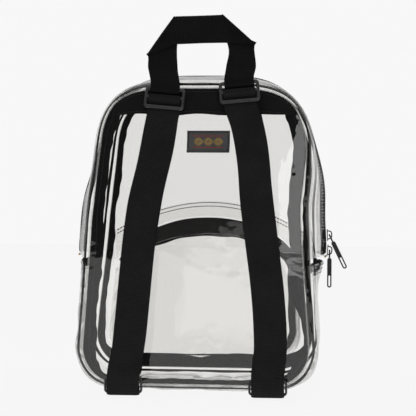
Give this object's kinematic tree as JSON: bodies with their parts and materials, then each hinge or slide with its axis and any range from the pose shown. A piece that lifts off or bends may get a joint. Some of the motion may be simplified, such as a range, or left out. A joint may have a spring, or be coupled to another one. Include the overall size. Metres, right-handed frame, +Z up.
{
  "type": "clear stadium backpack",
  "caption": "Small see-through vinyl backpack with black webbing shoulder straps, a folded haul handle, a zip over its top and a zipped front pocket.",
  "frame": {"origin": "centre of the flat base, on the surface that the bag stands on", "axes": "+Z up, +Y towards the front pocket, so the strap side faces -Y, and +X to the right seen from the strap side"},
  "size_m": [0.269, 0.1676, 0.362],
  "materials": {
    "clear_vinyl": "glossy clear PVC film, slightly hazy",
    "webbing": "black ribbed polypropylene webbing",
    "binding": "black woven grosgrain and zip tape",
    "yoke_cloth": "matte black polyester",
    "label_cloth": "charcoal woven patch with a plain striped pattern",
    "black_plastic": "moulded black acetal, satin",
    "black_metal": "black painted zinc"
  },
  "bodies": {
    "bag": {"back_panel": "clear_vinyl", "front_panel": "clear_vinyl", "gusset_lower": "clear_vinyl", "gusset_upper_back": "clear_vinyl", "gusset_upper_front": "clear_vinyl", "back_piping": "clear_vinyl", "front_piping": "clear_vinyl", "back_binding": "binding", "front_binding": "binding", "zip_tape_back": "binding", "zip_tape_front": "binding", "zip_coil": "black_plastic", "cross_seam_left": "binding", "cross_seam_right": "binding", "yoke": "yoke_cloth", "label": "label_cloth", "haul_handle": "webbing", "strap_left": "webbing", "triglide_left": "black_plastic", "ring_left": "black_plastic", "ring_tab_left": "webbing", "strap_right": "webbing", "triglide_right": "black_plastic", "ring_right": "black_plastic", "ring_tab_right": "webbing", "pocket_front": "clear_vinyl", "pocket_gusset": "clear_vinyl", "pocket_piping": "clear_vinyl", "pocket_binding": "binding", "pocket_facing": "clear_vinyl", "pocket_zip_tape": "binding", "pocket_zip_coil": "black_plastic", "zip_slider_upper": "black_metal", "zip_slider_lower": "black_metal", "pocket_zip_slider": "black_metal"},
    "upper_pull": {"zip_pull_upper": "black_metal"},
    "lower_pull": {"zip_pull_lower": "black_metal"},
    "pocket_pull": {"pocket_zip_pull": "black_metal"}
  },
  "joints": [
    {"name": "upper_pull_swing", "type": "hinge", "parent": "bag", "child": "upper_pull", "pos_m": [0.12908, -0.00028, 0.14958], "axis": [0, -1, 0], "range_deg": [0, 140]},
    {"name": "lower_pull_swing", "type": "hinge", "parent": "bag", "child": "lower_pull", "pos_m": [0.1293, -0.00026, 0.13404], "axis": [0, -1, 0], "range_deg": [0, 30]},
    {"name": "pocket_pull_swing", "type": "hinge", "parent": "bag", "child": "pocket_pull", "pos_m": [-0.04361, 0.07111, 0.1524], "axis": [0.187, 0.7803, -0.5968], "range_deg": [0, 140]}
  ]
}
